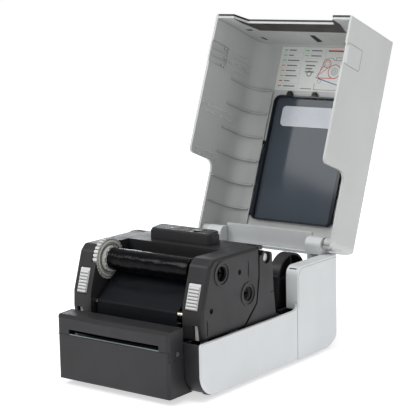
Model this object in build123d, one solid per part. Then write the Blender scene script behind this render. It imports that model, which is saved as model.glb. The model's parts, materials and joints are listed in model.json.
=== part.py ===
"""A desktop thermal-transfer label maker, lid open, with a guillotine cutter on its front.

Modelled in millimetres with X to the machine's right, -Y to its front and +Z up, z = 0 on the table.
The lid is drawn closed and turned open about its hinge. Every other piece is drawn where it rests.
One STEP file is written for each separate piece, or group of identical fasteners.
"""
from build123d import *
import os
from math import asin, atan2, cos, degrees, hypot, pi, radians, sin, sqrt

# ---- driving dimensions ----
WIDTH = 190.0              # over the white side walls
BASE_FRONT = -127.5        # front of the lower casing
BASE_REAR = 135.5          # back of the casing
FLOOR_Z = 4.0              # underside of the casing, above its rubber feet
LOW_RIM_Z = 61.0           # top of the low front part of the casing
HIGH_RIM_Z = 108.5         # top of the raised rear part
STEP_Y = 48.2              # where the casing steps up
WALL = 3.0                 # moulded wall
HINGE_Y, HINGE_Z = 128.5, 120.0
LID_OPEN_DEG = 111.0       # how far the lid swings back from closed
LID_FRONT = -124.5
LID_TOP_Z = 166.0
LID_LOW_RIM_Z = 62.0
LID_HIGH_RIM_Z = 109.8
PIVOT_Y, PIVOT_Z = 0.0, 127.6    # carriage pivot
CHEEK_OUT = 88.0                 # outer face of the carriage cheeks
CHEEK_IN = 62.0                  # inner face of the cheeks
TAKE_UP = (-81.0, 124.7)         # take-up spindle axis (y, z)
SUPPLY = (-35.0, 94.6)           # supply spindle axis (y, z)
PLATEN = (-104.0, 49.3)          # platen roller axis (y, z)
PLATEN_R = 8.2
ROLL = (78.0, 90.0)              # label roll's axis (y, z)
BAY_R = 50.0                     # inner radius of the bay's curved tub
BAY_FLOOR_Z = 42.0
HOLDER_IN, HOLDER_OUT = 54.6, 68.0
HOLDER_R = 26.4
CUTTER_LEFT, CUTTER_RIGHT = -77.0, 72.8
CUTTER_FRONT = -154.0
CUTTER_TOP_Z = 75.5
SLOT_LOW_Z, SLOT_TOP_Z = 55.0, 61.2
SLOT_HALF = 60.5
RUN = 0.05                       # radial running clearance of a shaft in its bore
HALF = WIDTH / 2
DECK_POSTS = [(-84, -38), (85, -88), (-84, 10), (84, 10)]
BAY_HALF = 80.0                  # half width of the media bay inside the thick rear walls
DECK_TOP_Z = 55.5
DECK_LOW_Z = 52.0

parts = {}


# ---- drawing helpers ----
def block(x0, x1, y0, y1, z0, z1):
    """A box between two opposite corners."""
    return Pos((x0 + x1) / 2, (y0 + y1) / 2, (z0 + z1) / 2) * Box(x1 - x0, y1 - y0, z1 - z0)


def rod(x0, x1, centre, radius):
    """A round bar along X at centre (y, z)."""
    return Pos((x0 + x1) / 2, *centre) * Rot(0, 90, 0) * Cylinder(radius, x1 - x0)


def post(x, y, z0, z1, radius):
    """A round bar along Z."""
    return Pos(x, y, (z0 + z1) / 2) * Cylinder(radius, z1 - z0)


def bar_y(x, z, y0, y1, radius):
    """A round bar along Y."""
    return Pos(x, (y0 + y1) / 2, z) * Rot(90, 0, 0) * Cylinder(radius, y1 - y0)


def outline(corners):
    """A closed face from corners of (a, b) or (a, b, rounding radius)."""
    points = [c[:2] for c in corners]
    radii = [c[2] if len(c) > 2 else 0 for c in corners]
    return make_face(FilletPolyline(*points, radius=radii, close=True).edges())


def side_plate(corners, x0, x1):
    """A plate standing along X whose side view has corners (y, z, radius)."""
    return Pos(x0, 0, 0) * extrude(Plane.YZ * outline(corners), x1 - x0, dir=(1, 0, 0))


def front_plate(corners, y0, y1):
    """A plate standing along Y whose front view has corners (x, z, radius)."""
    return Pos(0, y0, 0) * extrude(Plane.XZ * outline(corners), y1 - y0, dir=(0, 1, 0))


def flat_plate(corners, z0, z1):
    """A plate lying in XY with corners (x, y, radius)."""
    return Pos(0, 0, z0) * extrude(outline(corners), z1 - z0, dir=(0, 0, 1))


def mirrored(shape):
    """The same shape on the other side of the machine."""
    return mirror(shape, Plane.YZ)


def both_sides(shape):
    """A shape and its mirror image as separate solids."""
    return [shape, mirrored(shape)]


def strip(points, thickness, x0, x1):
    """A thin sheet of film or paper that follows points (y, z), from x0 to x1."""
    left, right = [], []
    for i, (y, z) in enumerate(points):
        y0, z0 = points[max(i - 1, 0)]
        y1, z1 = points[min(i + 1, len(points) - 1)]
        length = hypot(y1 - y0, z1 - z0)
        ny, nz = -(z1 - z0) / length, (y1 - y0) / length
        left.append((y + ny * thickness / 2, z + nz * thickness / 2))
        right.append((y - ny * thickness / 2, z - nz * thickness / 2))
    return side_plate(left + right[::-1], x0, x1)


def involute(base_r, r):
    """Polar angle of an involute at radius r, from its root on the base circle."""
    t = sqrt(max((r / base_r) ** 2 - 1, 0))
    return t - atan2(t, 1)


def gear_face(teeth, module, phase_deg=0.0, backlash=0.12):
    """The outline of a spur gear with 20 degree involute teeth."""
    pitch_r = teeth * module / 2
    base_r = pitch_r * cos(radians(20))
    tip_r, root_r = pitch_r + 0.9 * module, pitch_r - 1.2 * module
    half = (pi * module / 2 - backlash) / (2 * pitch_r) + involute(base_r, pitch_r)
    flank = [max(base_r, root_r) + (tip_r - max(base_r, root_r)) * i / 4 for i in range(5)]
    points = []
    for n in range(teeth):
        middle = 2 * pi * n / teeth + radians(phase_deg)
        if root_r < base_r:
            points.append((root_r, middle - half))
        points += [(r, middle - half + involute(base_r, r)) for r in flank]
        points += [(r, middle + half - involute(base_r, r)) for r in reversed(flank)]
        if root_r < base_r:
            points.append((root_r, middle + half))
    return make_face(Polyline(*[(r * cos(a), r * sin(a)) for r, a in points], close=True).edges())


def gear_x(teeth, module, centre, x0, x1, bore, phase_deg=0.0):
    """A spur gear on an axis along X."""
    body = extrude(Plane.YZ * gear_face(teeth, module, phase_deg), x1 - x0, dir=(1, 0, 0))
    return Pos(x0, *centre) * body - rod(x0 - 1, x1 + 1, centre, bore)


def screw_x(x, centre, out, head_r=2.6, length=9.0):
    """A pan-head screw along X; out is +1 or -1, the way its head faces."""
    head = rod(min(x, x + out * 1.8), max(x, x + out * 1.8), centre, head_r)
    shank = rod(min(x, x - out * length), max(x, x - out * length), centre, head_r * 0.5)
    slot = block(x + out * 1.0 - 0.8, x + out * 1.0 + 0.81, centre[0] - 0.35, centre[0] + 0.35,
                 centre[1] - 1.8, centre[1] + 1.8)
    return head + shank - slot


# ---- lower casing ----
def base_tray():
    """The dark lower tray: floor, low walls and the posts that carry the deck and the board."""
    side_gap = 0.1
    outer_half = HALF - WALL - side_gap
    inner_half = outer_half - 2.6
    front, rear, top = BASE_FRONT, BASE_REAR - WALL - 0.2, LOW_RIM_Z - 1
    outer = side_plate([(front, top, 1.5), (front, FLOOR_Z, 25), (rear, FLOOR_Z, 28), (rear, top)],
                       -outer_half, outer_half)
    inner = side_plate([(front + 2.6, top + 5), (front + 2.6, FLOOR_Z + 2.6, 22),
                        (rear - 2.6, FLOOR_Z + 2.6, 25), (rear - 2.6, top + 5)], -inner_half, inner_half)
    tray = outer - inner
    tray -= block(-62, 62, front - 1, front + 3, 52.5, top + 1)          # label exit
    tray -= block(-66, 66, rear - 6, rear + 1, 23, 54)                   # connector panel
    for x, y in DECK_POSTS:
        tray += post(x, y, FLOOR_Z + 2, DECK_LOW_Z, 4)
    for x, y in BOARD_HOLES:
        tray += post(x, y, FLOOR_Z + 2, BOARD_Z, 3) - post(x, y, FLOOR_Z + 3, BOARD_Z, 1.25)
    for i in range(9):                                                   # floor vents
        tray -= block(-30, 30, -40 + 8 * i, -37 + 8 * i, FLOOR_Z - 1, FLOOR_Z + 3)
    return tray


def front_panel():
    """The white right-hand cover of the low front part, with the small sweep up to the step."""
    top = LOW_RIM_Z
    sweep = 8.0
    y1 = STEP_Y - 0.3
    panel = side_plate([(BASE_FRONT, top, 3), (BASE_FRONT, FLOOR_Z, 25), (y1, FLOOR_Z), (y1, top)],
                       HALF - WALL, HALF)
    corner = block(HALF - WALL, HALF, y1 - sweep, y1, top, top + sweep)
    panel += corner - rod(HALF - WALL - 1, HALF + 1, (y1 - sweep, top + sweep), sweep)
    outer_edges = panel.edges().group_by(Axis.X)[-1]
    return chamfer(outer_edges, 0.6)


def rear_cover():
    """The white raised rear casing: outer shell, inner liner, knuckles and the riser between them."""
    y0, y1, top = STEP_Y, BASE_REAR, HIGH_RIM_Z
    profile = side_plate([(y0, top, 10), (y0, FLOOR_Z), (y1, FLOOR_Z, 30), (y1, top, 2)], -HALF, HALF)
    plan = flat_plate([(-HALF, y0), (HALF, y0), (HALF, y1, 10), (-HALF, y1, 10)], 0, top + 5)
    cover = profile & plan
    cover -= block(-BAY_HALF, BAY_HALF, y0 - 5, 126, -1, top + 5)        # media bay
    hollow_plan = flat_plate([(-HALF + WALL, y0 + 2.5), (HALF - WALL, y0 + 2.5),
                              (HALF - WALL, y1 - WALL, 7), (-HALF + WALL, y1 - WALL, 7)], -1, top - 2.5)
    hollow = hollow_plan - block(-BAY_HALF - 2.5, BAY_HALF + 2.5, y0 - 5, 128.5, -2, top)
    cover -= hollow
    cover -= block(-HALF + WALL, HALF - WALL, y0 - 1, y1 - WALL, -1, LOW_RIM_Z)
    cover -= block(-65, 65, y1 - 4, y1 + 1, 24, 53)                      # connector panel
    cover -= block(-57, 57, 120, y1 + 1, 88, 105.5)                      # slot for fan-fold labels
    knuckle = side_plate([(116.5, top - 0.01), (116.5, HINGE_Z + 7, 9), (y1, HINGE_Z + 7, 7),
                          (y1, top - 0.01)], 60, 80.5)
    cover += knuckle + mirrored(knuckle)
    cover += block(-60, 60, 131, 134, 105.5, 130)                        # riser
    for side in (-1, 1):
        cover -= rod(min(side * 63, side * 82), max(side * 63, side * 82), (HINGE_Y, HINGE_Z), 2.5 + RUN)
    return cover


def hinge_pins():
    """Two steel pins, held in the casing's knuckles, that the lid's lugs turn on."""
    return both_sides(rod(64, 91, (HINGE_Y, HINGE_Z), 2.5))


def rubber_feet():
    """Four round feet with a shallow ring in the sole."""
    foot = post(0, 0, 0, FLOOR_Z, 8) - (post(0, 0, -1, 0.8, 5.5) - post(0, 0, -1, 0.8, 3.5))
    return [Pos(x, y, 0) * foot for x in (-78, 78) for y in (-92, 95)]


def media_deck():
    """The dark deck under the carriage that the labels slide over, with the platen's side frames."""
    deck = block(-89, 89, BASE_FRONT + 2.8, 21, DECK_LOW_Z, DECK_TOP_Z)
    deck -= block(-59.8, 59.8, PLATEN[0] - 9.6, PLATEN[0] + 9.6, DECK_LOW_Z - 1, DECK_TOP_Z + 1)
    deck -= block(-89.5, -82.5, PLATEN[0] - 11, PLATEN[0] + 11, DECK_LOW_Z - 1, DECK_TOP_Z + 1)
    deck -= rod(-90, 68, PLATEN, 3.6)
    deck -= rod(-66, -62.9, PLATEN, 6.6) + rod(62.9, 66, PLATEN, 6.6)
    for side in (-1, 1):                                                 # latch openings
        deck -= block(min(side * 67, side * 83), max(side * 67, side * 83), -114, -93.8,
                      DECK_LOW_Z - 1, DECK_TOP_Z + 1)
        inner, outer = sorted((side * 60, side * 63))
        frame = side_plate([(-118, DECK_LOW_Z + 0.5), (-118, 40, 4), (-90, 40, 4), (-90, DECK_LOW_Z + 0.5)],
                           inner, outer)
        deck += frame
        deck -= rod(inner - 1, outer + 1, PLATEN, 5.0)
    for i in range(-5, 6):                                               # guide ribs along the path
        deck += block(10 * i - 0.6, 10 * i + 0.6, -92, 12, DECK_TOP_Z, DECK_TOP_Z + 0.6)
    deck -= block(-6, 6, -72, -60, DECK_LOW_Z - 1, DECK_TOP_Z + 1)       # sensor window
    return deck


def media_sensor():
    """The gap sensor that looks up through the deck."""
    return block(-5.6, 5.6, -71.6, -60.4, 47, DECK_TOP_Z - 0.3) - block(-3, 3, -69, -63, 54, 56)


def media_bay():
    """The dark curved tub for the label roll, open above, with end walls."""
    outer_r, inner_r = BAY_R + 2.5, BAY_R
    half = BAY_HALF - 0.4
    limits = block(-half, half, 24, 125.6, 30, 61)
    tub = (rod(-half, half, ROLL, outer_r) & limits) - rod(-half + 2.5, half - 2.5, ROLL, inner_r)
    tub += block(-half, half, 22.5, 42, DECK_TOP_Z - 2, DECK_TOP_Z) & block(-half, half, 22.5, 41.4, 0, 99)
    tub -= rod(-half + 2.5, half - 2.5, ROLL, inner_r)
    tub -= block(-half + 2.5, half - 2.5, 20, 50, DECK_TOP_Z, 62)        # low front lip for the labels
    tub -= block(-72, 72, ROLL[0] - 9, ROLL[0] + 9, 30, 48)              # slot for the holders' feet
    tub += block(-72, 72, ROLL[0] - 11, ROLL[0] + 11, 30.2, 32)          # shelf under the racks
    for side in (-1, 1):
        tub += block(-72, 72, ROLL[0] + side * 10 - 1, ROLL[0] + side * 10 + 1, 30.2, 41)
    return tub


# ---- label roll holders ----
def roll_holder():
    """The right-hand holder: an arched drum, hollow on its outer side, on a foot that slides below the bay."""
    x0, x1 = HOLDER_IN, HOLDER_OUT
    y, z = ROLL
    legs = side_plate([(y - HOLDER_R, BAY_FLOOR_Z), (y - HOLDER_R, z), (y + HOLDER_R, z),
                       (y + HOLDER_R, BAY_FLOOR_Z)], x0, x1)
    clear_tub = rod(x0, x1, ROLL, BAY_R - 0.6)
    arch = (legs & clear_tub) + rod(x0, x1, ROLL, HOLDER_R)
    inner_r = HOLDER_R - 2.4
    hollow = [(y - inner_r, 52), (y - inner_r, z), (y + inner_r, z), (y + inner_r, 52)]
    arch -= rod(x0 + 2.6, x1 + 1, ROLL, inner_r) + side_plate(hollow, x0 + 2.6, x1 + 1)
    arch += block(x0 + 2, x1 - 1.5, y - 0.8, y + 0.8, 52, z + inner_r + 0.5)     # stiffening ribs
    arch += block(x0 + 2, x1 - 1.5, y - inner_r - 0.5, y + inner_r + 0.5, z - 0.8, z + 0.8)
    arch += block(x0, x1, y - HOLDER_R - 2.2, y - HOLDER_R + 0.5, 60, 95)        # grip on the front
    arch += block(x0, x1, y - HOLDER_R - 5.0, y - HOLDER_R + 0.5, 93.6, 95)
    arch += block(x0, x0 + 6, y - 8, y + 8, 33, 46)                              # foot
    arch += rod(x0 - 8, x0 + 1, ROLL, 12.2) - rod(x0 - 9, x0 + 0.5, ROLL, 9.5)   # hub for the labels' core
    return arch


def rack(y_face, out):
    """A rack bar for a holder; its teeth face the pinion at the middle of the bay."""
    bar = block(-14, HOLDER_IN + 2, *sorted((y_face - out * 1.2, y_face - out * 3.4)), 33, 36)
    tooth = flat_plate([(-1.0, 0), (1.0, 0), (0.3, 2.1), (-0.3, 2.1)], 33, 36)
    if out < 0:
        tooth = mirror(tooth, Plane.XZ)
    for n in range(-4, 16):
        bar += Pos(n * pi, y_face - out * 1.25, 0) * tooth
    return bar


HOLDER_PINION_TEETH = 10


def holder_pinion():
    """The pinion between the two racks, which keeps the label roll centred."""
    gear = extrude(gear_face(HOLDER_PINION_TEETH, 1.0, backlash=0.35), 3, dir=(0, 0, 1))
    return Pos(0, ROLL[0], 33) * gear - post(0, ROLL[0], 32, 37, 1.6)


# ---- platen and its drive ----
def platen_parts():
    """Rubber roller, steel shaft, two bushings and the gear train on the left."""
    parts["platen_roller"] = rod(-57, 57, PLATEN, PLATEN_R) - rod(-58, 58, PLATEN, 3.0)
    parts["platen_shaft"] = rod(-88.4, 66, PLATEN, 3.0)
    bush = rod(60, 63, PLATEN, 4.95) + rod(63, 64.2, PLATEN, 6.2) - rod(59, 65, PLATEN, 3.0 + RUN)
    parts["platen_bushings"] = both_sides(bush)
    x0, x1 = -88.3, -84.3
    parts["platen_gear"] = gear_x(PLATEN_TEETH, 1.0, PLATEN, x0, x1, 3.0)
    idler = gear_x(IDLER_TEETH, 1.0, IDLER, x0, x1, 2.0 + RUN, IDLER_PHASE)
    for i in range(5):
        a = 2 * pi * i / 5
        idler -= rod(x0 - 1, x1 + 1, (IDLER[0] + 8 * cos(a), IDLER[1] + 8 * sin(a)), 2.6)
    parts["idler_gear"] = idler
    parts["motor_pinion"] = gear_x(PINION_TEETH, 1.0, MOTOR, x0, x1, 2.5, PINION_PHASE)
    half = 17.5
    y, z = MOTOR
    body = block(-78, -50, y - half, y + half, z - half, z + half)
    body = chamfer(body.edges().filter_by(Axis.X), 4)
    body += rod(-80, -78, MOTOR, 9)
    plate = side_plate([(y - 22, z + half + 3.6, 3), (IDLER[0] - 6, IDLER[1] + 6, 4),
                        (IDLER[0] - 4, IDLER[1] - 6, 4), (y - 20, z - half, 3), (y + half, z - half, 3),
                        (y + half, z + half + 3.6, 3)], -81.4, -80)
    body += plate
    body += rod(-88.6, -80, IDLER, 2.0)                                 # idler stud
    parts["feed_motor"] = body - rod(-90, -60, MOTOR, 2.5 + RUN)
    parts["motor_pinion"] += rod(-88.3, -60.1, MOTOR, 2.5)


PLATEN_TEETH, IDLER_TEETH, PINION_TEETH = 16, 30, 12
MESH_SLACK = 0.15


def beside(centre, teeth_a, teeth_b, angle_deg):
    """The centre of a gear that meshes with one at centre, in a direction given in the side view."""
    reach = (teeth_a + teeth_b) / 2 + MESH_SLACK
    a = radians(angle_deg)
    return (centre[0] + reach * cos(a), centre[1] + reach * sin(a))


def mesh_phase(teeth_a, phase_a, teeth_b, angle_deg):
    """The phase that puts gaps of gear b against teeth of gear a along the line of centres."""
    along_a = (angle_deg - phase_a) / (360 / teeth_a)
    return angle_deg + 180 - (0.5 - along_a) * (360 / teeth_b)


IDLER_ANGLE, MOTOR_ANGLE = -42.0, -10.0
IDLER = beside(PLATEN, PLATEN_TEETH, IDLER_TEETH, IDLER_ANGLE)
IDLER_PHASE = mesh_phase(PLATEN_TEETH, 0.0, IDLER_TEETH, IDLER_ANGLE)
MOTOR = beside(IDLER, IDLER_TEETH, PINION_TEETH, MOTOR_ANGLE)
PINION_PHASE = mesh_phase(IDLER_TEETH, IDLER_PHASE, PINION_TEETH, MOTOR_ANGLE)

# ---- electronics ----
BOARD_Z = 13.0
BOARD_HOLES = [(-60, -14), (60, -14), (-60, 104), (60, 104)]


def main_board():
    """The main circuit board with its chips, capacitors and sockets for the cables."""
    board = block(-66, 66, -20, 110, BOARD_Z, BOARD_Z + 1.6)
    for x, y in BOARD_HOLES:
        board -= post(x, y, BOARD_Z - 1, BOARD_Z + 3, 1.7)
    top = BOARD_Z + 1.6
    for x, y, w, d, h in [(0, 20, 24, 24, 2.2), (32, 24, 14, 10, 1.6), (-30, 30, 12, 18, 1.6),
                          (-40, 0, 20, 6, 6), (36, -4, 24, 6, 6), (0, 62, 16, 12, 3)]:
        board += block(x - w / 2, x + w / 2, y - d / 2, y + d / 2, top, top + h)
    for x, y in [(-22, 62), (-36, 62), (26, 60)]:
        board += post(x, y, top, top + 11, 5)
    return board


def board_screws():
    """Four pan-head screws that hold the board."""
    z = BOARD_Z + 1.6
    screw = post(0, 0, z, z + 1.8, 2.8) + post(0, 0, z - 7, z, 1.2)
    screw -= block(-0.3, 0.3, -2, 2, z + 1, z + 2)
    return [Pos(x, y, 0) * screw for x, y in BOARD_HOLES]


PANEL_Y = BASE_REAR - WALL - 2.0
SOCKETS = {"dc_inlet": (-46, 34, 6.0, 6.0), "usb_port": (-16, 33, 6.2, 5.8), "lan_port": (14, 34, 8.2, 7.2)}
SWITCH_X, SWITCH_Z = 46.0, 38.0


def connector_panel():
    """The dark plate at the back that frames the sockets and the power switch."""
    y0 = PANEL_Y - 0.8
    panel = front_plate([(-64.6, 24.4, 2), (64.6, 24.4, 2), (64.6, 52.6, 2), (-64.6, 52.6, 2)],
                        y0, BASE_REAR - 1.5)
    for x, z, w, h in SOCKETS.values():
        panel -= block(x - w - 0.1, x + w + 0.1, y0 - 1, BASE_REAR, z - h - 0.1, z + h + 0.1)
    return panel - block(SWITCH_X - 11.1, SWITCH_X + 11.1, y0 - 1, BASE_REAR, SWITCH_Z - 7.6, SWITCH_Z + 7.6)


def socket(name, depth):
    """A socket block in the connector panel, hollow towards the back."""
    x, z, w, h = SOCKETS[name]
    back = BASE_REAR - 1.2
    body = block(x - w, x + w, back - depth, back, z - h, z + h)
    if name == "dc_inlet":
        ring = bar_y(x, z, back - 8, back + 1, 4.2) - bar_y(x, z, back - 9, back + 2, 1.2)
        return body - ring
    mouth = block(x - w + 1.2, x + w - 1.2, back - 9, back + 1, z - h + 1.2, z + h - 1.2)
    body -= mouth
    if name == "usb_port":
        body += block(x - w + 3.4, x + w - 3.4, back - 9.5, back - 1, z - 1.6, z + 1.6)
    return body


ROCKER_Y = BASE_REAR - 4.0
ROCKER_TIP_DEG = 14.0


def power_switch():
    """The switch's fixed frame and the rocker that tips in it."""
    x, z = SWITCH_X, SWITCH_Z
    back = BASE_REAR - 0.8
    frame = block(x - 11, x + 11, back - 14, back, z - 7.5, z + 7.5)
    frame -= block(x - 9.4, x + 9.4, back - 9, back + 1, z - 6, z + 6)
    parts["power_switch_body"] = frame
    rocker = flat_plate([(x - 8.0, back - 2.6), (x, back - 5.4, 3), (x + 8.0, back - 2.6),
                         (x + 8.4, back + 0.6, 1), (x, back - 0.8, 20), (x - 8.4, back + 0.6, 1)],
                        z - 5.6, z + 5.6)
    tip = Axis((x, ROCKER_Y, 0), (0, 0, 1))
    rocker += post(x, ROCKER_Y, z - 5.9, z + 5.9, 1.5)                   # trunnions
    parts["power_rocker"] = rocker.rotate(tip, -ROCKER_TIP_DEG / 2)


# ---- cutter on the front ----
CUTTER_BACK = BASE_FRONT - 0.6
SEAM_LOW_Z = 44.5


def cutter_covers():
    """The upper and lower mouldings of the cutter, which meet at the slot."""
    front, back, top = CUTTER_FRONT, CUTTER_BACK, CUTTER_TOP_Z
    left, right = CUTTER_LEFT, CUTTER_RIGHT
    plan = flat_plate([(left, front + 1.2, 4), (-2, front, 300), (right, front + 1.2, 4),
                       (right, back + 16), (left, back + 16)], 0, 90)
    upper = side_plate([(front, SLOT_LOW_Z), (front, top - 3.5, 1.5), (front + 5.5, top, 3),
                        (back, top + 0.8, 1), (back, SEAM_LOW_Z + 0.2), (front + 3.2, SEAM_LOW_Z + 0.2),
                        (front + 3.2, SLOT_LOW_Z)], left, right) & plan
    upper -= block(left + 2.6, right - 2.6, front + 3.2, back + 1, SEAM_LOW_Z - 1, top - 3)
    upper -= block(-SLOT_HALF, SLOT_HALF, front - 1, front + 5, SLOT_LOW_Z - 1, SLOT_TOP_Z)
    for outer, inward in ((right, -1), (left, 1)):                       # screw bosses in the side walls
        upper += rod(*sorted((outer + inward * 6.2, outer + inward * 1.8)), CUTTER_SCREW, 3.4)
        upper -= rod(*sorted((outer + inward * 6.8, outer - inward)), CUTTER_SCREW, 1.28)
        upper -= rod(*sorted((outer + inward * 1.4, outer - inward)), CUTTER_SCREW, 2.9)
    parts["cutter_upper_cover"] = upper
    low = 6.0
    lower = side_plate([(front, low, 3), (front, SLOT_LOW_Z - 0.2), (front + 3.0, SLOT_LOW_Z - 0.2),
                        (front + 3.0, SEAM_LOW_Z), (back, SEAM_LOW_Z), (back, 29), (-114, low)],
                       left, right) & plan
    lower -= rod(left - 1, right + 1, (BASE_FRONT + 25, FLOOR_Z + 25), 25.6)
    lower -= block(left + 2.6, right - 2.6, front + 3, back + 12, low + 2.6, SLOT_LOW_Z + 1)
    parts["cutter_lower_cover"] = lower


CUTTER_SCREW = (-138.0, 51.0)
CUTTER_PINION_TEETH = 12
BLADE_Y = CUTTER_FRONT + 8.6          # front face of the moving blade
BLADE_THICK = 1.2
RACK_PITCH_Y = BLADE_Y + BLADE_THICK + 1.2
CUTTER_PINION = (RACK_PITCH_Y + CUTTER_PINION_TEETH / 2 + 0.15, 34.0)


def cutter_works():
    """Fixed lower blade, the moving blade with its rack, the motor and its pinion, and two screws."""
    front = CUTTER_FRONT
    parts["fixed_blade"] = block(-SLOT_HALF + 0.3, SLOT_HALF - 0.3, front + 1.4, BLADE_Y - 0.2,
                                 SLOT_LOW_Z + 0.1, SLOT_LOW_Z + 1.3)
    y0, y1 = BLADE_Y, BLADE_Y + BLADE_THICK
    blade = front_plate([(-66, 64.6), (66, 64.6), (66, 71.5), (-66, 71.5)], y0, y1)
    blade += front_plate([(62.5, 71.5), (66, 71.5), (66, 22), (62.5, 22)], y0, y1)
    tip_y = RACK_PITCH_Y + 0.9
    for n in range(-3, 6):
        z = CUTTER_PINION[1] + (n + 0.5) * pi
        blade += side_plate([(y1 - 0.01, z - 1.1), (y1 - 0.01, z + 1.1), (tip_y, z + 0.36),
                             (tip_y, z - 0.36)], 62.5, 66)
    parts["cutter_blade"] = blade
    gear = gear_x(CUTTER_PINION_TEETH, 1.0, CUTTER_PINION, 62.4, 66.1, 1.5)
    parts["cutter_pinion"] = gear + rod(48, 66.1, CUTTER_PINION, 1.5)
    motor = rod(20, 48, CUTTER_PINION, 9) & block(20, 48, -200, 0, CUTTER_PINION[1] - 7.5,
                                                  CUTTER_PINION[1] + 7.5)
    parts["cutter_motor"] = motor - rod(40, 50, CUTTER_PINION, 1.5 + RUN)
    parts["cutter_screws"] = [screw_x(CUTTER_RIGHT - 1.3, CUTTER_SCREW, 1, length=5, head_r=2.5),
                              screw_x(CUTTER_LEFT + 1.3, CUTTER_SCREW, -1, length=5, head_r=2.5)]


# ---- carriage: ribbon and print head ----
CHEEK_FRONT_LOW = -114.6
CHEEK_TOP_Z = 141.5
LATCH_PIVOT = (-98.0, 84.0)
GUIDE_ROD = (-107.0, 83.0)
HEAD_ROD = (-78.0, 62.0)
SCREW_HOLES = [(-50.0, 120.8), (-100.0, 89.3)]
FLUTES = [(-34.5, 112, 131), (-107.5, 64, 82)]     # shallow moulded marks: y, lower z, upper z


def cheek(window_x=65.6):
    """The right-hand cheek, a hollow side moulding with spindle bores and a latch window that starts at window_x."""
    corners = [(-94, CHEEK_TOP_Z, 5), (-101, 135, 8), (CHEEK_FRONT_LOW, 93, 8), (CHEEK_FRONT_LOW - 0.8, 76, 8),
               (-113, 59.5, 2), (-46, 59.5), (-20.8, 82, 4), (-16, 110, 6), (-16, CHEEK_TOP_Z)]
    body = side_plate(corners, CHEEK_IN, CHEEK_OUT)
    outer_edges = body.edges().group_by(Axis.X)[-1]
    body = fillet([e for e in outer_edges if e.center().Z > 76.5 and e.center().Y < -48], 3.5)
    hollow = [(-92.5, 138.5, 3), (-98.5, 133.5, 5), (-111.6, 92, 6), (-112.2, 76, 6), (-110.5, 50),
              (-45, 50), (-18, 82), (-10, 110), (-10, 138.5)]
    body -= side_plate(hollow, CHEEK_IN + 2.5, CHEEK_OUT - 3)
    for centre in (TAKE_UP, SUPPLY):
        body += rod(CHEEK_OUT - 3, CHEEK_OUT + 0.8, centre, 13) & side_plate(corners, 80, 90)
        body -= rod(CHEEK_OUT - 4, CHEEK_OUT + 2, centre, 8)
        body -= rod(CHEEK_OUT - 0.2, CHEEK_OUT + 2, centre, 11)
        body -= rod(CHEEK_IN - 1, CHEEK_IN + 4, centre, 6 + RUN)
    for centre in SCREW_HOLES:
        body -= rod(CHEEK_OUT - 4, CHEEK_OUT + 1, centre, 1.6)
        body -= rod(CHEEK_OUT - 1.9, CHEEK_OUT + 1, centre, 2.9)
    for centre in (GUIDE_ROD, HEAD_ROD):
        body -= rod(CHEEK_IN - 1, CHEEK_IN + 4, centre, 3.0)
    body -= block(window_x, 81.6, -125, -100, 90.6, 118.4)                # latch window
    body -= block(74.4, 81.6, -125, -106, 50, 76)                         # hook window
    body += rod(CHEEK_IN + 2.4, CHEEK_OUT - 2.9, LATCH_PIVOT, 2.0)        # latch pin
    for y, z0, z1 in FLUTES:
        middle = (z0 + z1) / 2
        body -= side_plate([(y, z0), (y + 2.0, middle, 25), (y, z1), (y - 2.0, middle, 25)],
                           CHEEK_OUT - 0.6, CHEEK_OUT + 1)
    return body


def with_wheel_pocket(left_cheek):
    """The left-hand cheek with a round pocket, open above, that the ribbon's hand wheel turns in."""
    corners = [(-94, CHEEK_TOP_Z, 5), (-99.5, 135, 6), (-99.5, 100), (-50, 90), (-50, CHEEK_TOP_Z)]
    floor_x, pocket_r = -70.2, WHEEL_R + 1.2
    body = left_cheek + (rod(floor_x, -CHEEK_IN, TAKE_UP, pocket_r + 1.8) & side_plate(corners, -72, -60))
    body -= rod(floor_x + 1.6, -CHEEK_IN + 1, TAKE_UP, pocket_r)
    return body - rod(floor_x - 1, -CHEEK_IN, TAKE_UP, 6 + RUN)


def carriage_top():
    """The dark cover between the cheeks, with the lip behind the take-up roll and a rounded back."""
    half = CHEEK_IN - 0.2
    top = CHEEK_TOP_Z
    lip_y = -50.0
    cover = block(-half, half, lip_y, -15.6, top - 3, top)
    cover += flat_plate([(-CHEEK_OUT, -15.6), (CHEEK_OUT, -15.6), (CHEEK_OUT, -5, 4), (-CHEEK_OUT, -5, 4)],
                        top - 3, top)
    cover += block(-half, half, lip_y, lip_y + 2.4, top - 14, top - 2.9)
    cover += block(-half, half, lip_y - 6, lip_y + 0.1, top - 14, top - 12)
    for x in (-76, 76):                                                  # shallow marks at the back
        cover -= block(x - 6, x + 6, -12, -9.5, top - 0.8, top + 1)
    cover -= block(-30, 30, -34, -24, top - 4, top + 1)                  # wiring hole under the pod
    return cover


def carriage_frame():
    """The inner steel frame: back plate, shelf and the two lugs that turn on the pivot pins."""
    back_y, thick = -13.0, 2.4
    half = 79.4
    frame = block(-CHEEK_IN + 0.3, CHEEK_IN - 0.3, back_y, back_y + thick, 64, 137)
    frame += block(-half, half, back_y, back_y + thick, 112, 137)
    lug = side_plate([(back_y + 0.5, 116, 1), (back_y + 0.5, 136.6, 1), (3, 136.6, 4), (8, 128, 6), (3, 119, 5)],
                     72, half)
    lug += rod(72, half, (PIVOT_Y, PIVOT_Z), 8)
    lug -= rod(71, 81, (PIVOT_Y, PIVOT_Z), 4 + RUN)
    return frame + lug + mirrored(lug)


def head_beam():
    """The bar between the cheeks that the print head hangs from on its springs."""
    beam = block(-CHEEK_IN + 0.2, CHEEK_IN - 0.2, -101, -82, 74, 76.4)
    beam += block(-CHEEK_IN + 0.2, CHEEK_IN - 0.2, -84.2, -82, 69, 74.1)
    return beam


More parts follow.
